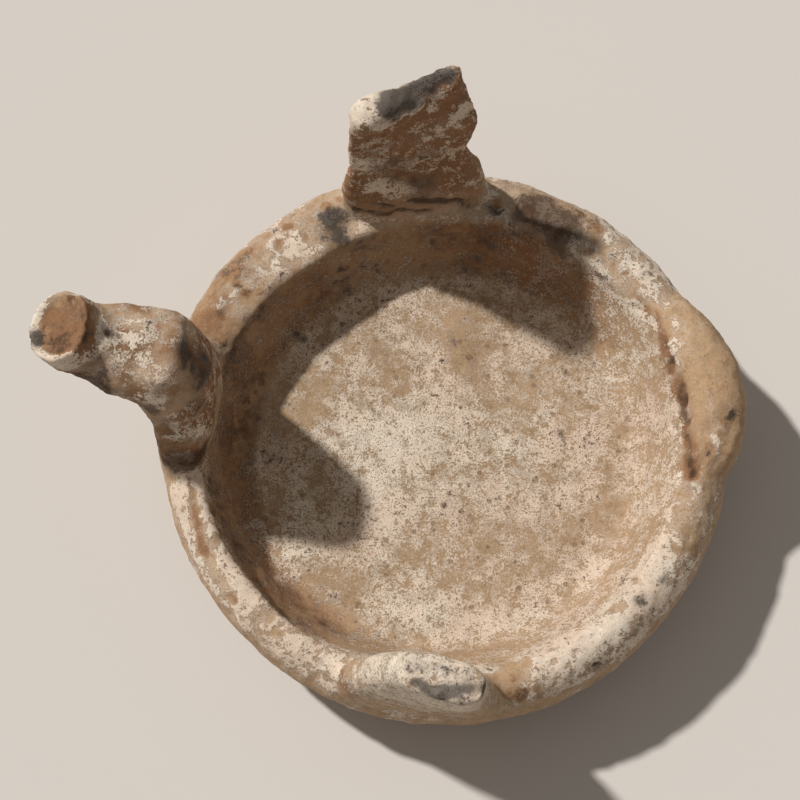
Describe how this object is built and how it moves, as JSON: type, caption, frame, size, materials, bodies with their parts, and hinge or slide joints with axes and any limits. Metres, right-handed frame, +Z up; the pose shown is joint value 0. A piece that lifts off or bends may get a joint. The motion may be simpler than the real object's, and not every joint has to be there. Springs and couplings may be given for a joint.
{
  "type": "multi-branch pottery lamp dish",
  "caption": "Thick-walled fired clay lamp dish with a bent branch, two broken leaf-like fins and a branch stump on its rim.",
  "frame": {"origin": "centre of the flat foot's underside, on the surface that the dish stands on", "axes": "+Z up; -X towards the surviving branch; +Y towards the tall back fin; +X towards the broken stump"},
  "size_m": [0.1751, 0.1534, 0.0873],
  "materials": {
    "fired_clay": "matt tan clay with worn cream slip, brown soil and dark stains"
  },
  "bodies": {
    "root": {"branched_lamp_bowl": "fired_clay"}
  },
  "joints": []
}
